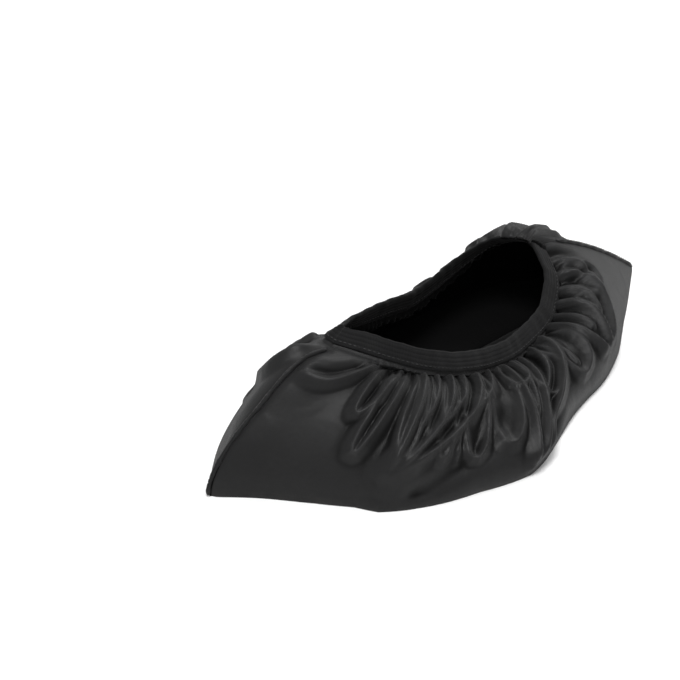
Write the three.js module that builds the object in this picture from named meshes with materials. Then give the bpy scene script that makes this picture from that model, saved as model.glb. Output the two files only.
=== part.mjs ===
// Skate boot cover: a pull-on cover of thin coated nylon. Two cloth panels, left and right, meet in
// a seam that climbs the toe, runs flat along the sole and climbs the heel. A folded elastic binding
// gathers their upper edge round a teardrop opening. Sizes in mm, toe towards -X, sole on z = 0.
import * as THREE from "three";

// ---- driving sizes
const CLOTH = 1.0;            // thickness of the cloth wall
const PANEL_GAP = 0.3;        // clearance between the panels along the seam, and round the cloth in the slot
const COLUMNS = 48;           // stations from toe to heel on each side
const BINDING_HEIGHT = 11;    // folded width of the elastic
const BINDING_LEG = 0.8;      // thickness of each folded leg
const BINDING_FOLD = 2.4;     // thickness of the closed fold above the slot
const SLOT_ROWS = [7.4, 3.7, 0]; // rows of cloth points inside the binding, above its lower edge
const CLOTH_NECK = 2.2;       // straight cloth below the binding before it turns outwards
const CORNER = 0.7;           // chamfer on the outer corners of the fold
const EVENING = 10;           // passes that even out the outward direction and the tilt round the opening
const WELT_WIDTH = 2.6;       // raised seam ridge up the toe and up the heel
const WELT_HEIGHT = 0.9;
const WELT_TOP = 0.55;         // the ridge's top, as a share of its foot
const WELT_CLEARANCE = 0.45;  // gap between the ridge and the cloth under it
const WELT_SECTIONS = 26;
const LONGEST_MITRE = 2.6;    // limit, in cloth thicknesses, for the inner corner of a sharp edge
const SOLE_ROWS = 2;

// Stations from the toe seam (at 0) to the heel seam (at 1). The rim is the lower edge of the
// binding; tilt leans the binding into the opening, degrees. The crown and belly columns are the
// handles of the side profile, measured out and up from the rim and from the hem on the floor.
const STATION = ["at", "rimX", "rimY", "rimZ", "tilt", "crownOut", "crownUp", "bellyOut", "bellyUp",
  "hemX", "hemY"];
const LEFT_STATIONS = [
  [0.00, 81, -5, 58, 66, 26, 3, 0, 26, 0, 0],
  [0.12, 90, -19, 55, 52, 26, 1, 2, 24, 17, -19],
  [0.25, 101, -30, 50, 36, 24, 4, 3, 24, 38, -47],
  [0.38, 116, -39, 43, 26, 24, 8, 5, 22, 68, -76],
  [0.50, 136, -43, 35, 22, 22, 8, 6, 20, 102, -90],
  [0.62, 161, -43, 27, 24, 20, 10, 6, 18, 140, -95],
  [0.75, 191, -39, 23, 32, 20, 12, 6, 18, 186, -79],
  [0.87, 224, -29, 27, 42, 18, 14, 4, 18, 238, -61],
  [0.94, 240, -16, 36, 46, 16, 13, -4, 16, 285, -32],
  [1.00, 248, 2, 44, 56, 13, 9, -14, 12, 330, 0],
];
const RIGHT_STATIONS = [
  [0.00, 81, -5, 58, 66, 26, 3, 0, 26, 0, 0],
  [0.06, 82, 3, 58, 60, 24, 4, 1, 22, 10, 10],
  [0.13, 95, 10, 52, 40, 22, 2, 2, 20, 22, 20],
  [0.25, 118, 15, 45, 22, 16, -4, 4, 14, 50, 34],
  [0.38, 142, 20, 38, 16, 12, -6, 4, 10, 84, 45],
  [0.50, 166, 25, 31, 14, 12, -6, 4, 10, 122, 52],
  [0.62, 190, 29, 31, 12, 12, -4, 4, 10, 168, 54],
  [0.75, 214, 31, 35, 14, 12, 2, 4, 12, 216, 52],
  [0.87, 236, 25, 43, 44, 14, 12, 2, 14, 262, 42],
  [0.94, 245, 12, 47, 66, 14, 12, -4, 14, 296, 22],
  [1.00, 248, 2, 44, 56, 13, 9, -14, 12, 330, 0],
];

// Folds of the cloth: height of the crest (negative for a hollow) and half width in mm, then the
// path of the crest as pairs: how far round from the toe, how far down from the binding.
const LEFT_FOLDS = [
  [2.2, 4, 0.02, 0.31, 0.10, 0.25, 0.20, 0.05],    // rounded lip beside the toe seam
  [-2.4, 4, 0.05, 0.21, 0.10, 0.13, 0.15, 0.05],   // long hollow above that lip
  [2.0, 4, 0.21, 0.15, 0.26, 0.22, 0.29, 0.05],
  [3.2, 5, 0.27, 0.30, 0.31, 0.46, 0.35, 0.25],
  [3.0, 5, 0.37, 0.09, 0.36, 0.48, 0.46, 0.30, 0.49, 0.08],
  [-3.0, 5, 0.42, 0.08, 0.41, 0.30],
  [3.2, 5, 0.49, 0.08, 0.44, 0.43, 0.45, 0.61],
  [-2.6, 6, 0.53, 0.10, 0.50, 0.40],
  [4.0, 7, 0.35, 0.75, 0.44, 0.68, 0.51, 0.56, 0.57, 0.40, 0.60, 0.08], // the long ridge across the side
  [-4.5, 9, 0.40, 0.92, 0.47, 0.82, 0.53, 0.66],   // hollow under the long ridge
  [3.0, 5, 0.33, 0.99, 0.32, 0.82],                // corner where the side folds at the floor
  [-2.5, 8, 0.33, 0.68, 0.33, 0.62],               // soft dimple
  [3.4, 6, 0.73, 0.06, 0.68, 0.36, 0.64, 0.63, 0.60, 0.94],
  [-2.8, 6, 0.66, 0.08, 0.61, 0.50],
  [2.8, 5, 0.78, 0.08, 0.75, 0.46, 0.78, 0.94],
  [2.4, 4, 0.85, 0.06, 0.82, 0.33, 0.85, 0.64],
  [-2.4, 4, 0.82, 0.08, 0.80, 0.45],
  [2.4, 4, 0.88, 0.06, 0.87, 0.22, 0.86, 0.60],
  [-2.6, 5, 0.94, 0.08, 0.93, 0.40],
  [2.2, 4, 0.98, 0.06, 0.98, 0.48],
];
const RIGHT_FOLDS = [
  [2.0, 5, 0.18, 0.08, 0.14, 0.50],
  [-1.8, 5, 0.26, 0.08, 0.24, 0.45],
  [2.2, 5, 0.34, 0.08, 0.30, 0.40, 0.31, 0.80],
  [-2.0, 5, 0.42, 0.08, 0.40, 0.50],
  [2.2, 5, 0.50, 0.08, 0.50, 0.45, 0.47, 0.90],
  [-2.0, 5, 0.57, 0.08, 0.58, 0.50],
  [2.2, 5, 0.64, 0.08, 0.67, 0.40, 0.66, 0.90],
  [-2.0, 5, 0.71, 0.08, 0.74, 0.50],
  [2.2, 5, 0.78, 0.08, 0.82, 0.40, 0.82, 0.85],
  [-2.0, 5, 0.85, 0.08, 0.89, 0.45],
  [2.0, 4, 0.92, 0.06, 0.94, 0.40],
];
const FOLD_STEPS = 12;        // straight pieces a fold path is measured in
const FOLD_FADE = 0.12;       // no fold this close to the binding, as a share of the side's depth

// Depths down the side at which the wall has a row of points, from the neck to the hem.
const DEPTHS = [0, 0.04, 0.09, 0.15, 0.22, 0.3, 0.39, 0.49, 0.6, 0.71, 0.82, 0.92, 1];

// ---- small helpers
const vec = (x, y, z) => new THREE.Vector3(x, y, z);
const UP = vec(0, 0, 1);
const clamp01 = (x) => Math.min(1, Math.max(0, x));
const smooth = (a, b, x) => { const s = clamp01((x - a) / (b - a)); return s * s * (3 - 2 * s); };

// Smooth curve through the rows of a table whose first column is the parameter.
function rowAt(rows, at) {
  const last = rows.length - 1;
  const slope = (i) => rows[i + 1].map((v, c) => (v - rows[i][c]) / (rows[i + 1][0] - rows[i][0]));
  const tangent = (i) => {
    if (i === 0) return slope(0);
    if (i === last) return slope(last - 1);
    const before = rows[i][0] - rows[i - 1][0], after = rows[i + 1][0] - rows[i][0];
    const a = slope(i - 1), b = slope(i);
    return a.map((v, c) => (v * after + b[c] * before) / (before + after));
  };
  let i = 0;
  while (i < last - 1 && at > rows[i + 1][0]) i += 1;
  const span = rows[i + 1][0] - rows[i][0], s = (at - rows[i][0]) / span;
  const m0 = tangent(i), m1 = tangent(i + 1);
  const h0 = 2 * s ** 3 - 3 * s ** 2 + 1, h1 = s ** 3 - 2 * s ** 2 + s;
  const h2 = -2 * s ** 3 + 3 * s ** 2, h3 = s ** 3 - s ** 2;
  const row = rows[i].map((v, c) => h0 * v + h1 * span * m0[c] + h2 * rows[i + 1][c] + h3 * span * m1[c]);
  return Object.fromEntries(STATION.map((name, c) => [name, row[c]]));
}

// ---- the ring of stations round the opening: left side toe to heel, right side heel to toe
const ring = [];
for (let k = 0; k < 2 * COLUMNS; k += 1) {
  const left = k <= COLUMNS;
  const row = rowAt(left ? LEFT_STATIONS : RIGHT_STATIONS, left ? k / COLUMNS : 2 - k / COLUMNS);
  ring.push({ row, rim: vec(row.rimX, row.rimY, row.rimZ), tilt: THREE.MathUtils.degToRad(row.tilt) });
}
const around = (k) => ring[(k + ring.length) % ring.length];
for (let k = 0; k < ring.length; k += 1) {
  const along = around(k + 1).rim.clone().sub(around(k - 1).rim);
  ring[k].out = vec(along.y, -along.x, 0).normalize();
}
for (let pass = 0; pass < EVENING; pass += 1) {
  const evened = ring.map((s, k) => ({
    out: around(k - 1).out.clone().add(around(k + 1).out).addScaledVector(s.out, 2).normalize(),
    tilt: (around(k - 1).tilt + around(k + 1).tilt + 2 * s.tilt) / 4,
  }));
  ring.forEach((s, k) => Object.assign(s, evened[k]));
}
for (const s of ring) {
  s.rise = s.out.clone().multiplyScalar(-Math.sin(s.tilt)).addScaledVector(UP, Math.cos(s.tilt));
  s.face = s.out.clone().multiplyScalar(Math.cos(s.tilt)).addScaledVector(UP, Math.sin(s.tilt));
}
const onBinding = (s, face, rise) => s.rim.clone().addScaledVector(s.face, face).addScaledVector(s.rise, rise);

// ---- the cloth surface of one side
function sideSurface(station) {
  const { row } = station;
  const hem = vec(row.hemX, row.hemY, 0);
  const neck = onBinding(station, CLOTH / 2, -CLOTH_NECK);
  const out = vec(row.hemX - row.rimX, row.hemY - row.rimY, 0).normalize();
  const away = out.clone().add(station.out).normalize();
  const crown = neck.clone().addScaledVector(away, row.crownOut).addScaledVector(UP, row.crownUp);
  const belly = hem.clone().addScaledVector(out, row.bellyOut).addScaledVector(UP, row.bellyUp);
  return new THREE.CubicBezierCurve3(neck, crown, belly, hem);
}

// Fold paths as short straight pieces through their table points.
const foldPath = ([height, width, ...pairs]) => {
  const points = [];
  for (let i = 0; i < pairs.length; i += 2) points.push(vec(pairs[i], pairs[i + 1], 0));
  return { height, width, points: new THREE.CatmullRomCurve3(points).getPoints(FOLD_STEPS) };
};

// Height of all the folds at a place on the side; round and down say how many mm a unit of each is.
function foldHeight(folds, at, depth, round, down) {
  let total = 0;
  for (const fold of folds) {
    let nearest = Infinity, where = 0;
    for (let i = 0; i < FOLD_STEPS; i += 1) {
      const a = fold.points[i], b = fold.points[i + 1];
      const bx = (b.x - a.x) * round, by = (b.y - a.y) * down;
      const px = (at - a.x) * round, py = (depth - a.y) * down;
      const s = clamp01((px * bx + py * by) / (bx * bx + by * by));
      const gap = Math.hypot(px - s * bx, py - s * by);
      if (gap < nearest) { nearest = gap; where = (i + s) / FOLD_STEPS; }
    }
    const ends = smooth(-0.05, 0.15, where) * smooth(1.05, 0.8, where);
    total += fold.height * ends * Math.exp(-((nearest / fold.width) ** 2));
  }
  return total * smooth(0, FOLD_FADE, depth);
}

// Points of one side as columns: cloth edge in the slot, neck, side, then sole to the centre line.
function sideGrid(side) {
  const folds = side.folds.map(foldPath);
  const base = [];
  for (let i = 0; i <= COLUMNS; i += 1) {
    const station = side.station(i);
    const curve = sideSurface(station);
    base.push({ station, curve, points: DEPTHS.map((d) => curve.getPoint(d)) });
  }
  return base.map((column, i) => {
    const { station, curve, points } = column;
    const ahead = base[Math.min(i + 1, COLUMNS)].points, behind = base[Math.max(i - 1, 0)].points;
    const steps = Math.min(i + 1, COLUMNS) - Math.max(i - 1, 0);
    const down = curve.getLength();
    const grid = SLOT_ROWS.map((rise) => onBinding(station, CLOTH / 2, rise));
    points.forEach((p, j) => {
      const along = ahead[j].clone().sub(behind[j]);
      const round = (along.length() / steps) * COLUMNS;
      const normal = curve.getTangent(DEPTHS[j]).cross(along).normalize().multiplyScalar(side.hand);
      const seam = smooth(0.01, 0.09, Math.min(i, COLUMNS - i) / COLUMNS);
      const height = foldHeight(folds, i / COLUMNS, DEPTHS[j], round, down) * seam;
      if (j === points.length - 1) normal.setZ(0);
      grid.push(p.clone().addScaledVector(normal, height));
    });
    const hem = grid[grid.length - 1];
    const centre = vec(side.centreX(i), 0, 0);
    for (let r = 1; r <= SOLE_ROWS; r += 1) grid.push(hem.clone().lerp(centre, r / SOLE_ROWS));
    return grid;
  });
}
const centreX = (i) => (ring[i].row.hemX + around(-i).row.hemX) / 2;
const LEFT = { hand: 1, folds: LEFT_FOLDS, station: (i) => ring[i], centreX };
const RIGHT = { hand: -1, folds: RIGHT_FOLDS, station: (i) => around(-i), centreX };

// Triangles of a grid, facing out of the cover; points that coincide at the tips are skipped.
function gridTriangles(grid, hand) {
  const triangles = [];
  const add = (...ids) => {
    const [a, b, c] = ids.map(([i, j]) => grid[i][j]);
    if (a.distanceTo(b) > 1e-6 && b.distanceTo(c) > 1e-6 && c.distanceTo(a) > 1e-6) {
      triangles.push(hand > 0 ? ids : [ids[0], ids[2], ids[1]]);
    }
  };
  for (let i = 0; i + 1 < grid.length; i += 1) {
    for (let j = 0; j + 1 < grid[i].length; j += 1) {
      add([i, j], [i, j + 1], [i + 1, j + 1]);
      add([i, j], [i + 1, j + 1], [i + 1, j]);
    }
  }
  return triangles;
}

// The step from the outer to the inner face of the cloth at every point: it lies one thickness
// inside every face that meets there, on both sides of a seam.
const keyOf = (p) => p.toArray().map((x) => Math.round(x * 1000)).join(",");
function innerSteps(sides) {
  const planes = new Map();
  for (const { grid, hand } of sides) {
    for (const ids of gridTriangles(grid, hand)) {
      const [a, b, c] = ids.map(([i, j]) => grid[i][j]);
      const normal = b.clone().sub(a).cross(c.clone().sub(a)).normalize();
      for (const p of [a, b, c]) {
        const key = keyOf(p);
        if (!planes.has(key)) planes.set(key, []);
        planes.get(key).push(normal);
      }
    }
  }
  const EVEN = 0.06;          // pull towards the shortest step where the faces lie in one plane
  const steps = new Map();
  for (const [key, normals] of planes) {
    const m = new THREE.Matrix3().set(EVEN, 0, 0, 0, EVEN, 0, 0, 0, EVEN);
    const sum = vec(0, 0, 0);
    for (const n of normals) {
      sum.add(n);
      const v = n.toArray();
      for (let r = 0; r < 3; r += 1) for (let c = 0; c < 3; c += 1) m.elements[c * 3 + r] += v[r] * v[c];
    }
    const step = sum.applyMatrix3(m.invert()).multiplyScalar(-CLOTH);
    steps.set(key, step.clampLength(CLOTH, CLOTH * LONGEST_MITRE));
  }
  return (p) => steps.get(keyOf(p));
}

const leftGrid = sideGrid(LEFT), rightGrid = sideGrid(RIGHT);
const stepInside = innerSteps([{ grid: leftGrid, hand: 1 }, { grid: rightGrid, hand: -1 }]);

// A closed cloth panel: outer face, inner face and the walls along its open edges.
function panelGeometry(grid, hand) {
  const rows = grid[0].length, lastColumn = grid.length - 1;
  const place = [];
  const index = new Map();
  const pointOf = (i, j, inner) => {
    const p = grid[i][j].clone();
    const slotCloth = j < SLOT_ROWS.length;
    if (inner) {
      const face = (hand > 0 ? ring[i] : around(-i)).face;
      p.add(slotCloth ? face.clone().multiplyScalar(-CLOTH) : stepInside(grid[i][j]));
    }
    if (i === 0 || i === lastColumn || j === rows - 1) p.y -= (hand * PANEL_GAP) / 2;
    const key = `${inner}:${keyOf(p)}`;
    if (!index.has(key)) { index.set(key, place.length); place.push(p); }
    return index.get(key);
  };
  const triangles = [];
  const edges = new Map();
  for (const ids of gridTriangles(grid, hand)) {
    const outer = ids.map(([i, j]) => pointOf(i, j, false));
    const inner = ids.map(([i, j]) => pointOf(i, j, true));
    triangles.push(outer, [inner[0], inner[2], inner[1]]);
    for (let e = 0; e < 3; e += 1) {
      const a = outer[e], b = outer[(e + 1) % 3];
      if (edges.has(`${b}-${a}`)) edges.delete(`${b}-${a}`);
      else edges.set(`${a}-${b}`, [a, b, inner[e], inner[(e + 1) % 3]]);
    }
  }
  for (const [a, b, innerA, innerB] of edges.values()) triangles.push([b, a, innerA], [b, innerA, innerB]);
  return meshGeometry(place, triangles);
}

function meshGeometry(points, triangles) {
  const geometry = new THREE.BufferGeometry();
  geometry.setAttribute("position", new THREE.Float32BufferAttribute(points.flatMap((p) => p.toArray()), 3));
  geometry.setIndex(triangles.flat());
  geometry.computeVertexNormals();
  return geometry;
}

// A bar swept through closed sections; joined end to end, or capped when it is open.
function sweptGeometry(sections, closed) {
  const count = sections.length, sides = sections[0].length;
  const triangles = [];
  for (let k = 0; k < (closed ? count : count - 1); k += 1) {
    const next = (k + 1) % count;
    for (let c = 0; c < sides; c += 1) {
      const d = (c + 1) % sides;
      const [p, q, r, s] = [k * sides + c, k * sides + d, next * sides + d, next * sides + c];
      triangles.push([p, r, q], [p, s, r]);
    }
  }
  if (!closed) {
    for (let c = 1; c + 1 < sides; c += 1) {
      triangles.push([0, c, c + 1]);
      const end = (count - 1) * sides;
      triangles.push([end, end + c + 1, end + c]);
    }
  }
  return meshGeometry(sections.flat(), triangles);
}

// ---- elastic binding: folded over the cloth edge, open below
const slotHalf = CLOTH / 2 + PANEL_GAP, outerHalf = slotHalf + BINDING_LEG;
const slotTop = BINDING_HEIGHT - BINDING_FOLD;
const FOLDED = [
  [outerHalf, 0], [outerHalf, BINDING_HEIGHT - CORNER], [outerHalf - CORNER, BINDING_HEIGHT],
  [CORNER - outerHalf, BINDING_HEIGHT], [-outerHalf, BINDING_HEIGHT - CORNER], [-outerHalf, 0],
  [-slotHalf, 0], [-slotHalf, slotTop / 2], [-slotHalf, slotTop],
  [slotHalf, slotTop], [slotHalf, slotTop / 2], [slotHalf, 0],
];
const bindingGeometry = sweptGeometry(ring.map((s) => FOLDED.map(([f, r]) => onBinding(s, f, r))), true);

// ---- raised seam ridges up the toe and up the heel
function weltGeometry(station, from, to, hand) {
  const curve = sideSurface(station);
  const sections = [];
  for (let k = 0; k <= WELT_SECTIONS; k += 1) {
    const depth = from + ((to - from) * k) / WELT_SECTIONS;
    const along = curve.getTangent(depth);
    const across = vec(0, 1, 0).addScaledVector(along, -along.y).normalize().multiplyScalar(hand);
    const away = across.clone().cross(along).normalize();
    const foot = curve.getPoint(depth).addScaledVector(away, WELT_CLEARANCE);
    const half = WELT_WIDTH / 2;
    sections.push([[-half, 0], [half, 0], [half * WELT_TOP, WELT_HEIGHT], [-half * WELT_TOP, WELT_HEIGHT]]
      .map(([w, h]) => foot.clone().addScaledVector(across, w).addScaledVector(away, h)));
  }
  return sweptGeometry(sections, false);
}

// ---- assembly
const nylon = new THREE.MeshStandardMaterial({ color: 0x1b1b1d, roughness: 0.5, metalness: 0 });
const elastic = new THREE.MeshStandardMaterial({ color: 0x242426, roughness: 0.9, metalness: 0 });
const seam = new THREE.MeshStandardMaterial({ color: 0x202022, roughness: 0.6, metalness: 0 });

const group = new THREE.Group();
group.name = "skate_boot_cover";
const addPiece = (name, geometry, material) => {
  const mesh = new THREE.Mesh(geometry, material);
  mesh.name = name;
  group.add(mesh);
};
addPiece("left_panel", panelGeometry(leftGrid, 1), nylon);
addPiece("right_panel", panelGeometry(rightGrid, -1), nylon);
addPiece("elastic_binding", bindingGeometry, elastic);
addPiece("toe_seam", weltGeometry(ring[0], 0.06, 0.985, 1), seam);
addPiece("heel_seam", weltGeometry(ring[COLUMNS], 0.16, 0.985, -1), seam);

const box = new THREE.Box3().setFromObject(group);
const middle = box.getCenter(vec(0, 0, 0));
for (const mesh of group.children) mesh.geometry.translate(-middle.x, -middle.y, -box.min.z);

export default group;
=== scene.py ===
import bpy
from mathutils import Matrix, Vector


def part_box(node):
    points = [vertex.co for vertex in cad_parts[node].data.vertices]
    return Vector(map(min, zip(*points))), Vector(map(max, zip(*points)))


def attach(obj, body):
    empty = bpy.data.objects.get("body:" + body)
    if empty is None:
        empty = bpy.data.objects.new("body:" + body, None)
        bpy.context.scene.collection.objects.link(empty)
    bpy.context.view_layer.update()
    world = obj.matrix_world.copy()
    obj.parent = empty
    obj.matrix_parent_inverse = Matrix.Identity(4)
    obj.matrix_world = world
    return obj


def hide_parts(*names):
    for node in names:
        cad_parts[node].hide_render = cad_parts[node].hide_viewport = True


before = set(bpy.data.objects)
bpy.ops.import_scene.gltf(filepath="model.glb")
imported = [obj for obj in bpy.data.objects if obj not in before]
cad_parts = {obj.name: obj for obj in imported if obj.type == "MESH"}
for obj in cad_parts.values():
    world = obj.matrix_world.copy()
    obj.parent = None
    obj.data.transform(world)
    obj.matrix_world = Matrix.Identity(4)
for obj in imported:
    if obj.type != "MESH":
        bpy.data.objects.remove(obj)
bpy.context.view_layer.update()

import math

import bmesh
import bpy
import numpy as np
from bpy.props import FloatProperty, FloatVectorProperty, PointerProperty
from bpy.types import Operator, Panel, PropertyGroup
from mathutils import Vector

bl_info = {
    "name": "Skate boot cover",
    "version": (1, 0, 0),
    "blender": (4, 5, 0),
    "location": "View3D > Sidebar > Boot cover",
    "description": "Builds a pull-on skate boot cover of gathered nylon with an elastic opening",
    "category": "Object",
}

MM = 0.001
UP = np.array([0.0, 0.0, 1.0])

# The stations are measured from the toe tip, on the sole's centre line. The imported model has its
# origin in the middle of its box, so this is where the toe tip lies in it.
TOE_TIP = np.array([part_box("left_panel")[0][0], 0.0206, 0.0])


# ---- shape tables -------------------------------------------------------------------------------

# One row per station from the toe seam (at 0) to the heel seam (at 1), in mm. The rim is the lower
# edge of the binding; tilt leans the binding into the opening, in degrees. The crown and belly are
# the handles of the side profile, out and up from the rim and from the hem on the floor.
STATION = ("at", "rim_x", "rim_y", "rim_z", "tilt", "crown_out", "crown_up", "belly_out", "belly_up",
           "hem_x", "hem_y")
LEFT_STATIONS = np.array([
    (0.00, 81, -5, 58, 66, 26, 3, 0, 26, 0, 0),
    (0.12, 90, -19, 55, 52, 26, 1, 2, 24, 17, -19),
    (0.25, 101, -30, 50, 36, 24, 4, 3, 24, 38, -47),
    (0.38, 116, -39, 43, 26, 24, 4, 5, 22, 68, -76),
    (0.50, 136, -43, 35, 22, 22, 3, 6, 20, 102, -90),
    (0.62, 161, -43, 27, 24, 20, 6, 6, 18, 140, -95),
    (0.75, 191, -39, 23, 32, 20, 9, 6, 18, 186, -79),
    (0.87, 224, -29, 27, 42, 18, 14, 4, 18, 238, -61),
    (0.94, 240, -16, 36, 46, 16, 13, -4, 16, 285, -32),
    (1.00, 248, 2, 44, 56, 13, 9, -14, 12, 330, 0),
])
RIGHT_STATIONS = np.array([
    (0.00, 81, -5, 58, 66, 26, 3, 0, 26, 0, 0),
    (0.06, 82, 3, 58, 60, 24, 4, 1, 22, 10, 10),
    (0.13, 95, 10, 52, 40, 22, 2, 2, 20, 22, 20),
    (0.25, 118, 15, 45, 22, 16, -4, 4, 14, 50, 34),
    (0.38, 142, 20, 38, 16, 12, -6, 4, 10, 84, 45),
    (0.50, 166, 25, 31, 14, 12, -6, 4, 10, 122, 52),
    (0.62, 190, 29, 31, 12, 12, -4, 4, 10, 168, 54),
    (0.75, 214, 31, 35, 14, 12, 2, 4, 12, 216, 52),
    (0.87, 236, 25, 43, 44, 14, 12, 2, 14, 262, 42),
    (0.94, 245, 12, 47, 66, 14, 12, -4, 14, 296, 22),
    (1.00, 248, 2, 44, 56, 13, 9, -14, 12, 330, 0),
])

# The near hem runs in nearly straight lengths between blunt corners: place, and mm outwards.
HEM_CORNERS = np.array([(0, 0), (0.1, -1.5), (0.22, -3), (0.29, -1.8), (0.33, 1.6), (0.39, 0), (0.5, -0.6),
                        (0.6, 2.2), (0.66, 0), (0.8, -1), (0.89, 1.6), (0.93, 0), (1, 0)], float)

# Folds of the near side fan up from knots near the hem's blunt corners. Each row: height and reach
# in mm, where the knot lies and how far down, the first and last gather that its folds come from,
# and how many there are.
LEFT_FANS = [
    (3.4, 7, 1 / 3, 0.75, 0.36, 0.60, 6),
    (3.4, 7, 0.60, 0.95, 0.64, 0.80, 5),
    (3.2, 6, 0.85, 0.75, 0.83, 0.98, 6),
]
# Seeded hairpins of each side: from where to where round the side, how many, and the seed.
LEFT_HAIRPINS = (0.2, 0.95, 11, 6)
RIGHT_HAIRPINS = (0.18, 0.88, 11, 4)
GATHER_START = 0.03      # how far down the folds begin under the elastic
FAN_WAY = 0.95           # how far towards the knot the long folds of a fan reach
FAN_SHORT = 0.35         # how much shorter every other one is
FAN_BOW = 0.3            # below 0.5 a fold leaves the elastic steeply and bends over
# Single crests: height and reach in mm, then places on the crest as pairs: how far round from the
# toe, how far down from the binding. The first is the soft lip beside the toe seam.
LEFT_CREASES = [
    (2.4, 6, 0.0, 1 / 4, 1 / 10, 1 / 4, 1 / 5, GATHER_START),
]
RIGHT_CREASES = [
    (2.6, 6, 0.03, 0.10, 0.06, 0.30, 0.10, 0.42, 0.14, 0.36, 0.16, 0.06),
    (2.2, 5, 0.10, 0.05, 0.10, 0.22, 0.12, 0.34),
    (2.4, 5, 0.88, 0.03, 0.90, 0.30, 0.93, 0.48, 0.95, 0.30, 0.94, 0.04),
    (2.0, 4, 0.97, 0.03, 0.965, 0.22, 0.975, 0.40),
    (1.6, 3, 0.925, 0.02, 0.93, 0.12, 0.95, 0.22),
    (1.8, 3, 0.985, 0.02, 0.975, 0.12, 0.96, 0.2),
    (1.4, 3, 0.86, 0.02, 0.865, 0.16),
]
# Hollows and soft swellings: height (negative for a hollow) and half width in mm, then the path.
LEFT_HOLLOWS = [
    (-2.2, 4, 0.03, 0.23, 0.075, 0.19, 0.12, 0.10),
    (-2.4, 4, 0.215, 0.04, 0.235, 0.12, 0.262, 0.09),
    (1.6, 9, 0.30, 0.22, 0.31, 0.36),
    (-3.2, 8, 0.39, 0.88, 0.45, 0.74, 0.50, 0.60, 0.55, 0.46),
    (-2.2, 6, 0.39, 0.62, 0.42, 0.52, 0.45, 0.40),
    (-2.4, 4, 0.468, 0.55, 0.475, 0.36),
    (1.2, 9, 0.33, 0.66, 0.335, 0.72),
    (-1.6, 7, 0.33, 1.0, 0.325, 0.80),
    (-3.8, 8, 0.68, 0.80, 0.695, 0.50, 0.72, 0.20),
    (-2.0, 3, 0.93, 0.20, 0.945, 0.34),
]
RIGHT_HOLLOWS = [
    (-2.0, 5, 0.08, 0.12, 0.10, 0.30),
    (-2.6, 8, 0.30, 0.85, 0.36, 0.40),
    (-2.6, 8, 0.62, 0.85, 0.58, 0.40),
]
FOLD_STEPS = 14          # straight pieces in the path of a crest
CREST_ROUNDING = 0.35 * MM
FLANK = 1.15             # how much further than the tabled reach the flanks run out
FLANK_CURVE = 1.6        # above 1 the flanks hollow out below the crest
CREST = 1.65             # how sharply the tabled heights stand out
CREST_END = 0.75         # how much of its height a crest loses by its far end
CREST_JOIN = 4           # the higher, the less two crests add up where they meet


# ---- curves and surfaces ------------------------------------------------------------------------

def unit(vectors):
    return vectors / np.maximum(np.linalg.norm(vectors, axis=-1, keepdims=True), 1e-12)


def smooth(low, high, x):
    s = np.clip((x - low) / (high - low), 0, 1)
    return s * s * (3 - 2 * s)


def rows_at(rows, at):
    """Smooth curve through the rows of a table whose first column is the parameter."""
    step = np.diff(rows[:, 0])[:, None]
    slope = np.diff(rows, axis=0) / step
    tangent = np.vstack([
        slope[:1],
        (slope[:-1] * step[1:] + slope[1:] * step[:-1]) / (step[1:] + step[:-1]),
        slope[-1:],
    ])
    i = np.clip(np.searchsorted(rows[:, 0], at, side="right") - 1, 0, len(rows) - 2)
    span = step[i]
    s = (np.asarray(at) - rows[i, 0])[:, None] / span
    return ((2 * s**3 - 3 * s**2 + 1) * rows[i] + (s**3 - 2 * s**2 + s) * span * tangent[i]
            + (3 * s**2 - 2 * s**3) * rows[i + 1] + (s**3 - s**2) * span * tangent[i + 1])


def loop_at(values, k):
    """Smooth closed curve through evenly spaced values, at fractional places k."""
    i = np.floor(k).astype(int)
    s = (k - i)[:, None]
    a, b, c, d = (values[(i + n) % len(values)] for n in (-1, 0, 1, 2))
    return b + s * (c - a) / 2 + s**2 * (a - 2.5 * b + 2 * c - d / 2) + s**3 * (1.5 * (b - c) + (d - a) / 2)


RING_HALF = 48                # stations round each half of the opening
EVENING = 10                  # rounds that even out the directions of the binding
# Place round the ring and how much of the cloth puffs up over the binding there, 0 to 1: at the far
# side of the heel it folds over the elastic and hides it.
PUFF = np.array([(0, 0), (46.6, 0), (49, 1), (53, 1), (56, 0), (96, 0)], float)
PUFF_ROOM = 0.08              # share of the depth folded up against the binding at the heel
PUFF_REACH = 13.6 * MM        # how far up the binding the puffed lip reaches
PUFF_LIFT = 2.7 * MM          # how far it stands off the binding
PUFF_HUG = 1.3                # how strongly its lower part is pressed back, as a share of the lift
NECK = 2.2 * MM               # straight cloth below the binding before it turns outwards
CLOTH_IN_SLOT = 6.0 * MM      # how far the cloth edge reaches up into the binding


def ring_directions():
    """Outward direction and tilt round the opening: left side toe to heel, right side heel to toe."""
    k = np.arange(2 * RING_HALF)
    left = rows_at(LEFT_STATIONS, k[:RING_HALF + 1] / RING_HALF)
    right = rows_at(RIGHT_STATIONS, 2 - k[RING_HALF + 1:] / RING_HALF)
    row = np.vstack([left, right])
    along = np.roll(row[:, 1:4], -1, 0) - np.roll(row[:, 1:4], 1, 0)
    turning = np.column_stack([along[:, 1], -along[:, 0], 0 * k])
    turning = np.column_stack([unit(turning), np.radians(row[:, 4])])
    for _ in range(EVENING):
        turning = (np.roll(turning, 1, 0) + 2 * turning + np.roll(turning, -1, 0)) / 4
        turning[:, :3] = unit(turning[:, :3])
    return turning


RING = ring_directions()


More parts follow.
